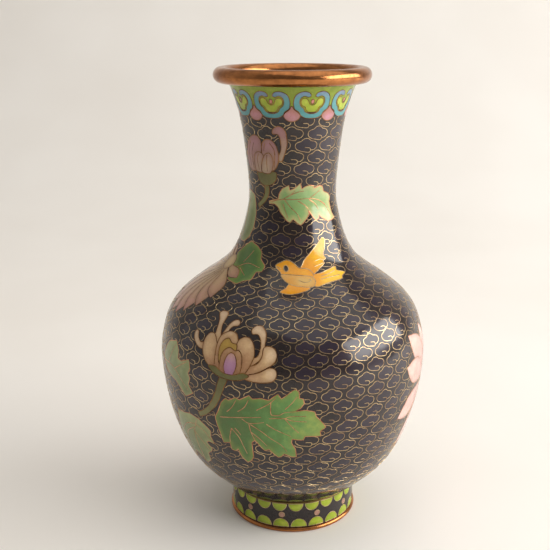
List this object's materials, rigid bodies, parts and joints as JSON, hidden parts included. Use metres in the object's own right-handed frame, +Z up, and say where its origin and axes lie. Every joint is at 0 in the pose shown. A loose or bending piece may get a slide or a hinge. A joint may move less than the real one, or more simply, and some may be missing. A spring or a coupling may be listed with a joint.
{
  "type": "cloisonne vase",
  "caption": "Tall-necked cloisonne vase with a round belly, gilt rolled rim and foot ring, flowers and a bird in coloured enamel on black.",
  "frame": {"origin": "centre of the foot ring, on the surface the vase stands on", "axes": "+Z up along the axis of the vase, -Y towards the side with the bird and the main flower"},
  "size_m": [0.1192, 0.1192, 0.205],
  "materials": {
    "copper": "satin",
    "gilt": "polished",
    "wire": "polished",
    "black_enamel": "gloss",
    "lining_enamel": "gloss",
    "lime_enamel": "gloss",
    "turquoise_enamel": "gloss",
    "pink_enamel": "gloss",
    "mauve_enamel": "gloss",
    "olive_enamel": "gloss",
    "green_enamel": "gloss",
    "pale_green_enamel": "gloss",
    "orange_enamel": "gloss",
    "cream_enamel": "gloss",
    "yellow_enamel": "gloss"
  },
  "bodies": {
    "root": {"neck_shell": "copper", "upper_belly_shell": "copper", "lower_belly_shell": "copper", "foot_shell": "copper", "rim_ring": "gilt", "foot_joint_ring": "gilt", "foot_ring": "gilt", "neck_lining": "lining_enamel", "belly_lining": "lining_enamel", "base_enamel": "lining_enamel", "neck_ground": "black_enamel", "belly_ground": "black_enamel", "foot_ground": "black_enamel", "collar_ground": "lime_enamel", "collar_heads": "turquoise_enamel", "collar_hearts": "lime_enamel", "collar_beads": "pink_enamel", "collar_petals": "pink_enamel", "collar_wires": "wire", "hanging_scallops": "lime_enamel", "rising_scallops": "lime_enamel", "foot_dots": "pink_enamel", "foot_wires": "wire", "bud_petals": "mauve_enamel", "bud_calyx": "olive_enamel", "bud_wires": "wire", "neck_leaves": "pale_green_enamel", "neck_leaf_wires": "wire", "bird_plumage": "orange_enamel", "bird_breast": "cream_enamel", "bird_eye": "black_enamel", "bird_wires": "wire", "chrysanthemum_petals": "cream_enamel", "chrysanthemum_heart": "yellow_enamel", "chrysanthemum_base": "mauve_enamel", "chrysanthemum_stem": "olive_enamel", "chrysanthemum_wires": "wire", "belly_leaves": "green_enamel", "belly_leaf_wires": "wire", "side_leaves": "olive_enamel", "side_leaf_wires": "wire", "shoulder_leaf": "green_enamel", "shoulder_leaf_wires": "wire", "shoulder_flower": "mauve_enamel", "shoulder_flower_wires": "wire", "side_flowers": "cream_enamel", "side_flower_wires": "wire"}
  },
  "joints": []
}
